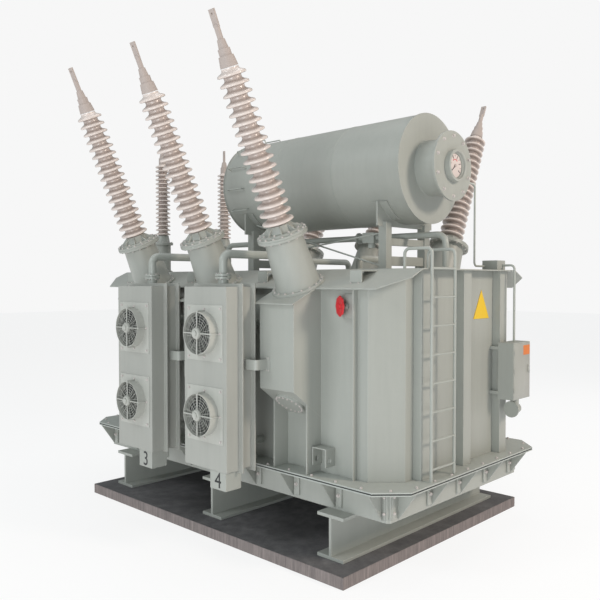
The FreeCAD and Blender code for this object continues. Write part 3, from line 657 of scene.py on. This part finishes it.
boltShape = Builder()        # washer and six-sided head, one unit across the washer
boltShape.lathe([(0.5, 0.0), (0.5, 0.09), (0.47, 0.11)], Matrix.Identity(4), 14)
boltShape.lathe([(0.39, 0.10), (0.39, 0.40), (0.34, 0.47)], Matrix.Identity(4), 6)
boltPattern = addObject("boltPattern", cleanMesh("boltPattern", boltShape.points, boltShape.faces))
bolts = []                   # (place, axis, size)


def bolt(x, y, z, axis, size):
    bolts.append((Vector((x, y, z)), Vector(axis), size))


def boltCircle(middle, axis, radius, count, size, start=0.0):
    axis = Vector(axis).normalized()
    a = Vector((1, 0, 0)) if abs(axis.x) < 0.9 else Vector((0, 1, 0))
    a = (a - axis * a.dot(axis)).normalized()
    b = axis.cross(a)
    for k in range(count):
        t = 2 * math.pi * (k + start) / count
        place = Vector(middle) + a * radius * math.cos(t) + b * radius * math.sin(t)
        bolts.append((place, axis, size))


# skirt flange bolts, above and below
skirt = dict(halfLength=2.821, halfWidth=1.605, corner=0.281, inset=0.05, step=0.335, size=0.036)
flangeTop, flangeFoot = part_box("upper_flange")[1].z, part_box("lower_flange")[0].z
hl, hw, cc = skirt["halfLength"], skirt["halfWidth"], skirt["corner"]
corners = [(hl, -hw + cc), (hl, hw - cc), (hl - cc, hw), (-hl + cc, hw),
           (-hl, hw - cc), (-hl, -hw + cc), (-hl + cc, -hw), (hl - cc, -hw)]
for i, (x0, y0) in enumerate(corners):
    x1, y1 = corners[(i + 1) % len(corners)]
    a, b = Vector((x0, y0, 0)), Vector((x1, y1, 0))
    inward = Vector((-(b - a).y, (b - a).x, 0)).normalized() * skirt["inset"]
    count = max(1, round((b - a).length / skirt["step"]))
    for k in range(count):
        spot = a.lerp(b, (k + 0.5) / count) + inward
        bolts.append((spot + up * flangeTop, up, skirt["size"]))
        bolts.append((spot + up * flangeFoot, -up, skirt["size"]))

# turret rings and flanges: height, way up, circle, bolts, size, start
turretBolts = ((0.028, 1, 0.277, 18, 0.026, 0.0), (0.644, 1, 0.257, 16, 0.028, 0.0),
               (0.592, -1, 0.257, 16, 0.028, 0.5), (0.664, 1, 0.205, 8, 0.026, 0.5))
hatch = dict(across=1.5565, height=1.723, fall=math.atan2(0.318, 0.427), proud=0.028,
             circle=0.155, count=18, size=0.024)
for side in (-1, 1):
    down = Vector((0, side * math.sin(hatch["fall"]), -math.cos(hatch["fall"])))
    for foot, axis in tilted[side]:
        for height, way, circle, count, size, start in turretBolts:
            boltCircle(foot + axis * height, axis * way, circle, count, size, start)
        middle = Vector((foot.x, side * hatch["across"], hatch["height"])) + down * hatch["proud"]
        boltCircle(middle, down, hatch["circle"], hatch["count"], hatch["size"])
for side in (-1, 1):
    for height, circle in upright["boltCircles"]:
        boltCircle((upright["x"], side * upright["across"], coverTop + height), up, circle,
                   upright["bolts"], upright["boltSize"])

# gauge flange, junction box and the flanges of the cooler pipes
gauge = dict(face=2.466, height=4.377, flangeCircle=0.345, flangeBolts=10, boltSize=0.044,
             radius=0.184, depth=0.068, dialRadius=0.136, dialDepth=0.022, marks=11,
             hubRadius=0.017, hubProud=0.010)
junction = dict(middle=(2.800, 0.800, 1.514), circle=0.082, bolts=8, boltSize=0.016)
fans = dict(x=0.687, heights=(2.489, 1.592), plateFace=2.204, corner=0.272, edge=0.262,
            cornerBolt=0.034, edgeBolt=0.028, shadeDiscFace=2.0605, shadeDiscRadius=0.220,
            shadeDiscThick=0.002)
pipes = dict(across=1.932, top=3.139, foot=3.083, circle=0.074, bolts=6, boltSize=0.024,
             coverAcross={-1: -0.80, 1: 0.50}, coverCircle=0.066, coverProud=0.016,
             coverBoltSize=0.02)
boltCircle((gauge["face"], 0, gauge["height"]), (1, 0, 0), gauge["flangeCircle"],
           gauge["flangeBolts"], gauge["boltSize"], 0.5)
boltCircle(junction["middle"], (0, -1, 0), junction["circle"], junction["bolts"],
           junction["boltSize"], 0.5)
for side in (-1, 1):
    for x in (-fans["x"], fans["x"]):
        for height, way in ((pipes["top"], up), (pipes["foot"], -up)):
            boltCircle((x, side * pipes["across"], height), way, pipes["circle"],
                       pipes["bolts"], pipes["boltSize"])
        boltCircle((x, pipes["coverAcross"][side], coverTop + pipes["coverProud"]), up,
                   pipes["coverCircle"], pipes["bolts"], pipes["coverBoltSize"])

# fan plates: four bolts at the corners and four round the opening
fanSpots = [(x, z) for x in (-fans["x"], fans["x"]) for z in fans["heights"]]
far, near = fans["corner"], fans["edge"]
for side in (-1, 1):
    for x, z in fanSpots:
        for dx in (-far, far):
            for dz in (-far, far):
                bolt(x + dx, side * fans["plateFace"], z + dz, (0, side, 0), fans["cornerBolt"])
        for dx, dz in ((0, near), (0, -near), (near, 0), (-near, 0)):
            bolt(x + dx, side * fans["plateFace"], z + dz, (0, side, 0), fans["edgeBolt"])

# feet of the lifting brackets on the sloping shoulders
brackets = dict(spots=(-2.11, -0.69, 0.69, 2.11), across=1.345, flatHalf=1.0, spread=0.05,
                size=0.022)
bracketHeight = coverTop - (brackets["across"] - brackets["flatHalf"]) * math.tan(lean)
for side in (-1, 1):
    for x in brackets["spots"]:
        for dx in (-brackets["spread"], brackets["spread"]):
            bolt(x + dx, side * brackets["across"], bracketHeight,
                 (0, side * math.sin(lean), math.cos(lean)), brackets["size"])

# posts beside the gussets, each with one bolt, and two strips at each corner
posts = dict(foot=0.640, top=0.926, proud=0.022, width=0.080, gap=0.010, bolt=0.046,
             boltHeight=0.765, endPitch=0.6, sidePitch=0.625, cornerInset=0.040,
             cornerWidth=0.062, cornerProud=0.012, cornerBolt=0.034, cornerHeights=(0.70, 0.868),
             bead=0.013, beadInsets=((0.004, 0.030), (0.030, 0.004)))
skirtPosts = Builder()
wallX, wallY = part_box("bottom_tank")[1].x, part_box("bottom_tank")[1].y
foot, top, proud, width = posts["foot"], posts["top"], posts["proud"], posts["width"]
for hand in (-1, 1):
    for k in range(-1, 3):
        y = posts["endPitch"] * k - posts["gap"]
        lowX, highX = sorted((hand * wallX, hand * (wallX + proud)))
        skirtPosts.block((lowX, y - width, foot), (highX, y, top))
        bolt(hand * (wallX + proud), y - width / 2, posts["boltHeight"], (hand, 0, 0),
             posts["bolt"])
for side in (-1, 1):
    for k in range(-4, 4):
        x = posts["sidePitch"] * k + posts["gap"]
        lowY, highY = sorted((side * wallY, side * (wallY + proud)))
        skirtPosts.block((x, lowY, foot), (x + width, highY, top))
        bolt(x + width / 2, side * (wallY + proud), posts["boltHeight"], (0, side, 0),
             posts["bolt"])
proud, inset, wide = posts["cornerProud"], posts["cornerInset"], posts["cornerWidth"]
lastPost = posts["sidePitch"] * 4 + posts["gap"]
for hand in (-1, 1):
    for side in (-1, 1):
        lowX, highX = sorted((hand * wallX, hand * (wallX + proud)))
        lowY, highY = sorted((side * (wallY - inset), side * (wallY - inset - wide)))
        skirtPosts.block((lowX, lowY, foot), (highX, highY, top))
        for z in posts["cornerHeights"]:
            bolt(hand * (wallX + proud), (lowY + highY) / 2, z, (hand, 0, 0), posts["cornerBolt"])
        inner = max(wallX - inset - wide, lastPost)
        lowX, highX = sorted((hand * (wallX - inset), hand * inner))
        lowY, highY = sorted((side * wallY, side * (wallY + proud)))
        skirtPosts.block((lowX, lowY, foot), (highX, highY, top))
        for z in posts["cornerHeights"]:
            bolt((lowX + highX) / 2, side * (wallY + proud), z, (0, side, 0), posts["cornerBolt"])
        for inX, inY in posts["beadInsets"]:
            x, y = hand * (wallX - inX), side * (wallY - inY)
            skirtPosts.rod((x, y, foot), (x, y, top), posts["bead"], 10)
skirtPosts.finish("skirtPosts", paints["tank"], bevel=0.003)

# pads at the ends of the tie straps
straps = dict(reach=0.557, face=1.776, heights=(2.083, 2.219), spread=0.018, size=0.014)
for side in (-1, 1):
    for middle in (-fans["x"], fans["x"]):
        for way in (-1, 1):
            for z in straps["heights"]:
                for dx in (-straps["spread"], straps["spread"]):
                    bolt(middle + way * straps["reach"] + dx, side * straps["face"], z,
                         (0, side, 0), straps["size"])

# fans: guard wires, motor noses, blades and a thin dark disc in each opening, painted shade for the
# inside
guard = dict(rings=7, inner=0.045, outer=0.222, wire=0.0028, spokes=16, spokeStart=0.05,
             reach=2.2915)
noseReach = 2.318
noseOutline = [(0.060, -0.004), (0.060, 0.010), (0.054, 0.018), (0.034, 0.020), (0.034, 0.034),
               (0.028, 0.040), (0.012, 0.042)]
wireShape = Builder()
for k in range(guard["rings"]):
    r = guard["inner"] + (guard["outer"] - guard["inner"]) * k / (guard["rings"] - 1)
    wireShape.ring((0, 0, 0), (0, 0, 1), r, guard["wire"], 40, 4)
for k in range(guard["spokes"]):
    a = 2 * math.pi * (k + 0.5) / guard["spokes"]
    way = Vector((math.cos(a), math.sin(a), 0))
    wireShape.rod(way * guard["spokeStart"], way * guard["outer"], guard["wire"], 4)
wirePattern = addObject("guardPattern",
                        cleanMesh("guardPattern", wireShape.points, wireShape.faces))
for word, side in (("front", -1), ("rear", 1)):
    spots = [(Vector((x, side * guard["reach"], z)), (0, side, 0), 1.0) for x, z in fanSpots]
    setOnPoints(word + "GuardWires", wirePattern, spots, paints["fan"])
    nose = Builder()
    for x, z in fanSpots:
        nose.lathe(noseOutline, standAt((x, side * noseReach, z), (0, side, 0)), 28)
    nose.finish(word + "MotorNoses", paints["fan"])

blades = dict(count=7, spans=7, chords=6, root=0.055, tip=0.202, rootPitch=52, untwist=26,
              rootChord=0.060, chordGain=0.062, sweep=0.10, bow=0.008, seat=0.030,
              flatten=0.62, thick=0.003, foot=-2.218)
hubOutline = [(0.062, 0.0), (0.062, 0.052), (0.056, 0.058), (0.03, 0.060)]


def bladePoint(t, s):
    # t runs from root to tip, s across the blade from 0 to 1
    r = blades["root"] + (blades["tip"] - blades["root"]) * t
    pitch = math.radians(blades["rootPitch"] - blades["untwist"] * t)
    c = (s - 0.5) * (blades["rootChord"] + blades["chordGain"] * t)
    bow = blades["bow"] * (1 - (2 * s - 1) ** 2)
    angle = (c * math.cos(pitch) - bow * math.sin(pitch)) / r + blades["sweep"] * t
    deep = c * math.sin(pitch) + bow * math.cos(pitch)
    return Vector((r * math.cos(angle), r * math.sin(angle),
                   blades["seat"] + deep * blades["flatten"]))


def bladeFan(name, x, z, body, replaced):
    fan = Builder()
    face = standAt((x, blades["foot"], z), (0, -1, 0))
    fan.lathe(hubOutline, face, 32)
    spans, chords, wide = blades["spans"], blades["chords"], blades["chords"] + 1
    skin = [(i * wide + j, i * wide + j + 1, (i + 1) * wide + j + 1, (i + 1) * wide + j)
            for i in range(spans) for j in range(chords)]
    rim = ([j for j in range(wide)] + [i * wide + chords for i in range(1, spans + 1)]
           + [spans * wide + j for j in range(chords - 1, -1, -1)]
           + [i * wide for i in range(spans - 1, 0, -1)])
    lift = (face.to_3x3() @ up) * blades["thick"]
    for k in range(blades["count"]):
        turned = face @ Matrix.Rotation(2 * math.pi * k / blades["count"], 4, "Z")
        points = [turned @ bladePoint(i / spans, j / chords)
                  for i in range(spans + 1) for j in range(wide)]
        n = len(points)
        edges = [(q, r, n + r, n + q) for q, r in zip(rim, rim[1:] + rim[:1])]
        back = [tuple(n + v for v in reversed(f)) for f in skin]
        fan.add(points + [p - lift for p in points], skin + back + edges)
    fan.finish(name, paints["blade"], body, smoothAngle=50, replaces=(replaced,))


for hand, x in (("left", -fans["x"]), ("right", fans["x"])):
    for level, z in zip(("upper", "lower"), fans["heights"]):
        word = "fan_rotor_%s_%s" % (hand, level)
        bladeFan("blades" + hand.title() + level.title(), x, z, word + "_body", word)
# painted shade: a thin dark disc deep in each fan opening stands in for the shadow inside
shadeDiscs = Builder()
for side in (-1, 1):
    for x, z in fanSpots:
        shadeDiscs.lathe([(fans["shadeDiscRadius"], 0.0), (fans["shadeDiscRadius"], fans["shadeDiscThick"])],
                     standAt((x, side * fans["shadeDiscFace"], z), (0, side, 0)), 40)
shadeDiscs.finish("fanRecesses", paints["dark"])

setOnPoints("boltHeads", boltPattern, bolts, paints["bolt"])
print("bolts set", len(bolts))

# numbers on the small boxes below the coolers
numerals = dict(size=0.245, depth=0.001, narrow=0.93, across=0.197, face=-2.1808, height=0.880)
for word, x in (("3", -fans["x"]), ("4", fans["x"])):
    text = bpy.data.curves.new("number" + word, "FONT")
    text.body, text.size, text.extrude = word, numerals["size"], numerals["depth"]
    text.align_x, text.align_y = "CENTER", "CENTER"
    lettering = addObject("number" + word, text)
    shown = bpy.context.evaluated_depsgraph_get()
    mesh = bpy.data.meshes.new_from_object(lettering.evaluated_get(shown))
    bpy.data.objects.remove(lettering)
    mesh.transform(Matrix.Translation((x + numerals["across"], numerals["face"],
                                       numerals["height"]))
                   @ Matrix.Rotation(math.radians(90), 4, "X")
                   @ Matrix.Diagonal((numerals["narrow"], 1, 1, 1)))
    settle(addObject("numeral" + word, mesh), paints["ink"], smoothAngle=30)

# oil gauge: deep bezel, dial face, marks and one pointer
r, d, well = gauge["radius"], gauge["depth"], gauge["dialDepth"] - 0.004
bezel = Builder()
bezel.lathe([(r, 0.0), (r, d - 0.006), (r - 0.003, d - 0.001), (r - 0.008, d), (r - 0.024, d),
             (r - 0.029, d - 0.003), (r - 0.031, d - 0.010), (r - 0.031, d - 0.026),
             (r - 0.040, d - 0.028), (r - 0.044, d - 0.034), (r - 0.044, well), (0.001, well)],
            Matrix.Translation((gauge["face"], 0, gauge["height"]))
            @ Matrix.Rotation(math.radians(90), 4, "Y"), 72)
bezel.finish("gaugeBezel", paints["tank"], smoothAngle=30, replaces=("oil_gauge",),
             slot="tank_paint")
dialX, dialZ = gauge["face"] + gauge["dialDepth"], gauge["height"]
scale = dict(firstAngle=215, step=25, long=(0.086, 0.0045), short=(0.104, 0.0028), outer=0.122,
             proud=0.001, pointerAngle=222, pointerLength=0.100, pointerProud=0.004,
             pointerRoot=0.006, pointerTip=0.0018)


def dialSpot(degrees, distance, proud):
    a = math.radians(degrees)
    return (dialX + proud, math.cos(a) * distance, dialZ + math.sin(a) * distance)


dialFace = Builder()
dialFace.rod((dialX - 0.003, 0, dialZ), (dialX, 0, dialZ), gauge["dialRadius"], 64)
dialFace.finish("dialFace", paints["dial"], slot="gauge_face")
marks = Builder()
for k in range(gauge["marks"]):
    inner, thick = scale["short"] if k % 2 else scale["long"]
    angle = scale["firstAngle"] - scale["step"] * k
    marks.rod(dialSpot(angle, inner, scale["proud"]),
              dialSpot(angle, scale["outer"], scale["proud"]), thick, 6)
marks.rod((dialX + scale["pointerProud"], 0.0, dialZ),
          dialSpot(scale["pointerAngle"], scale["pointerLength"], scale["pointerProud"]),
          scale["pointerRoot"], 8, scale["pointerTip"])
marks.finish("dialMarks", paints["ink"])
hub = Builder()
hub.rod((dialX, 0, dialZ), (dialX + gauge["hubProud"], 0, dialZ), gauge["hubRadius"], 24)
hub.finish("dialHub", paints["terminal"])
arc = dict(across=0.040, high=0.020, lift=0.052, wire=0.004)
arcShape = Builder()
arcShape.tube([(dialX + scale["proud"], arc["across"] * math.cos(math.radians(q)),
                dialZ + arc["lift"] + arc["high"] * math.sin(math.radians(q)))
               for q in range(0, 181, 15)], arc["wire"], 6)
arcShape.finish("dialArc", paints["red"])

# handwheels: wall plate, stem and a red wheel with a scalloped rim
wheel = dict(spots=(-0.816, 2.022), turn=27.6, height=2.794, reach=0.074, radius=0.112,
             scallops=8, scallopDepth=0.045, thick=0.020, plateLeft=0.038, plateRight=0.086,
             plateHalf=0.130, plateThick=0.016, rootDepth=0.013, stemRadius=0.018,
             bossRadius=0.034, bossReach=0.030)
thick = wheel["thick"]
wheelLayers = ((0.90, 0.0), (1.0, 0.004), (1.0, thick - 0.004), (0.90, thick), (0.62, thick),
               (0.50, thick - 0.006), (0.24, thick - 0.006), (0.20, thick + 0.006),
               (0.10, thick + 0.008))
wheelPlates, wheels = Builder(), Builder()
swing = math.radians(wheel["turn"])
outward = Vector((-math.sin(swing), -math.cos(swing), 0))
wall = -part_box("tank_body")[1].y
for x in wheel["spots"]:
    wheelPlates.block((x - wheel["plateLeft"], wall - wheel["plateThick"],
                       wheel["height"] - wheel["plateHalf"]),
                      (x + wheel["plateRight"], wall, wheel["height"] + wheel["plateHalf"]))
    root = Vector((x, wall - wheel["rootDepth"], wheel["height"]))
    wheelPlates.rod(root, root + outward * wheel["reach"], wheel["stemRadius"], 20)
    wheelPlates.rod(root, root + outward * wheel["bossReach"], wheel["bossRadius"], 24)
    face = standAt(root + outward * wheel["reach"], outward)
    count = wheel["scallops"] * 8
    points = []
    for size, depth in wheelLayers:
        for k in range(count):
            a = 2 * math.pi * k / count
            dip = wheel["scallopDepth"] * size * (1 - math.cos(a * wheel["scallops"]))
            r = wheel["radius"] * size * (1 - dip)
            points.append(face @ Vector((r * math.cos(a), r * math.sin(a), depth)))
    wheels.add(points, stackFaces(len(wheelLayers), count))
wheelPlates.finish("wheelPlates", paints["tank"], bevel=0.002, replaces=("handwheels",),
                   slot="tank_paint")
wheels.finish("redWheels", paints["red"], smoothAngle=40, slot="red_paint")

# cabinet door, hinges, handle and blank label
cabinet = dict(door=((2.870, 0.712, 1.648), (2.874, 1.118, 2.308)), hinges=(1.75, 1.98, 2.20),
               hingeLine=(2.876, 0.716), hingeHalf=0.03, hingeRadius=0.006,
               handle=((2.874, 1.070, 1.94), (2.882, 1.096, 2.04)),
               knob=((2.882, 1.083, 1.96), (2.892, 1.083, 1.96)), knobRadius=0.010,
               label=((2.874, 0.948, 2.165), (2.8755, 1.112, 2.281)))
door, fittings, label = Builder(), Builder(), Builder()
door.block(*cabinet["door"])
door.finish("cabinetDoor", paints["cooler"], bevel=0.0015)
for z in cabinet["hinges"]:
    fittings.rod((*cabinet["hingeLine"], z - cabinet["hingeHalf"]),
                 (*cabinet["hingeLine"], z + cabinet["hingeHalf"]), cabinet["hingeRadius"], 12)
fittings.block(*cabinet["handle"])
fittings.rod(*cabinet["knob"], cabinet["knobRadius"], 16)
fittings.finish("cabinetFittings", paints["cooler"], bevel=0.001)
label.block(*cabinet["label"])
label.finish("blankLabel", paints["orange"])

# weld beads round the conservator and its gauge neck: x, radius, bead, turns
beads = ((0.165, 0.637, 0.004, 72), (1.155, 0.637, 0.004, 72), (2.158, 0.327, 0.006, 48))
welds = Builder()
for x, radius, bead, turns in beads:
    welds.ring((x, 0, gauge["height"]), (1, 0, 0), radius, bead, turns, 6)
welds.finish("weldBeads", paints["pipe"])
print("details made")

# studio: pale floor, soft lights, pale backdrop and the camera
studio = dict(floorHalf=60, floorShade=0.16, floorRoughness=0.9, floorGlow=0.82,
              skyColor=(0.91, 0.98, 1.0, 1), skyStrength=0.34, backdrop=(0.93, 0.93, 0.93, 1))
half = studio["floorHalf"]
floorMesh = bpy.data.meshes.new("studioFloor")
floorMesh.from_pydata([(-half, -half, 0), (half, -half, 0), (half, half, 0), (-half, half, 0)],
                      [], [(0, 1, 2, 3)])
floor = addObject("studioFloor", floorMesh)
floorMaterial = bpy.data.materials.new("paleFloor")
floorMaterial.use_nodes = True
floorInputs = floorMaterial.node_tree.nodes["Principled BSDF"].inputs
floorInputs["Base Color"].default_value = (*[studio["floorShade"]] * 3, 1)
floorInputs["Roughness"].default_value = studio["floorRoughness"]
floorInputs["Emission Color"].default_value = (1, 1, 1, 1)
floorInputs["Emission Strength"].default_value = studio["floorGlow"]
floorMesh.materials.append(floorMaterial)

lights = dict(
    key=dict(place=(14, 2.4, 8.8), aim=(0, 0, 2), size=2.6, power=950, color=(1.0, 0.87, 0.75)),
    fill=dict(place=(-3, -12, 11), aim=(0, 0, 2.4), size=4.5, power=450,
              color=(0.92, 0.97, 0.99)),
    top=dict(place=(0, 0, 14), aim=(0, 0, 0), size=8, power=360, color=(1.0, 1.0, 1.0)),
    back=dict(place=(3, 12, 8), aim=(0, 0, 3), size=6, power=230, color=(1.0, 0.96, 0.92)),
    low=dict(place=(6, -12, 2.6), aim=(0, 0, 1.2), size=5, power=520, color=(0.92, 0.98, 1.0)))
for word, facts in lights.items():
    lamp = bpy.data.lights.new(word + "Light", "AREA")
    lamp.shape, lamp.size = "SQUARE", facts["size"]
    lamp.energy, lamp.color = facts["power"], facts["color"]
    thing = addObject(word + "Light", lamp)
    thing.location = facts["place"]
    thing.rotation_mode = "QUATERNION"
    toAim = Vector(facts["aim"]) - Vector(facts["place"])
    thing.rotation_quaternion = toAim.to_track_quat("-Z", "Y")

world = bpy.data.worlds.new("studioWorld")
world.use_nodes = True
sky = world.node_tree
sky.nodes["Background"].inputs["Color"].default_value = studio["skyColor"]
sky.nodes["Background"].inputs["Strength"].default_value = studio["skyStrength"]
backdrop = sky.nodes.new("ShaderNodeBackground")      # the pale wall seen behind the object
backdrop.inputs["Color"].default_value = studio["backdrop"]
seen, mixed = sky.nodes.new("ShaderNodeLightPath"), sky.nodes.new("ShaderNodeMixShader")
sky.links.new(seen.outputs["Is Camera Ray"], mixed.inputs[0])
sky.links.new(sky.nodes["Background"].outputs[0], mixed.inputs[1])
sky.links.new(backdrop.outputs[0], mixed.inputs[2])
sky.links.new(mixed.outputs[0], sky.nodes["World Output"].inputs["Surface"])
bpy.context.scene.world = world
bpy.context.scene.view_settings.view_transform = "Standard"

cameraFacts = dict(lens=42.16, sensor=36.0, far=200.0, place=(6.7705, -7.0667, 3.0578),
                   tilt=90 - 1.541, turn=43.60)
eye = bpy.data.cameras.new("studioCamera")
eye.lens, eye.sensor_width = cameraFacts["lens"], cameraFacts["sensor"]
eye.clip_end = cameraFacts["far"]
camera = addObject("studioCamera", eye)
camera.location = cameraFacts["place"]
camera.rotation_euler = (math.radians(cameraFacts["tilt"]), 0, math.radians(cameraFacts["turn"]))
bpy.context.scene.camera = camera

for pattern in (boltPattern, wirePattern):
    bpy.data.objects.remove(pattern)
print("studio ready")
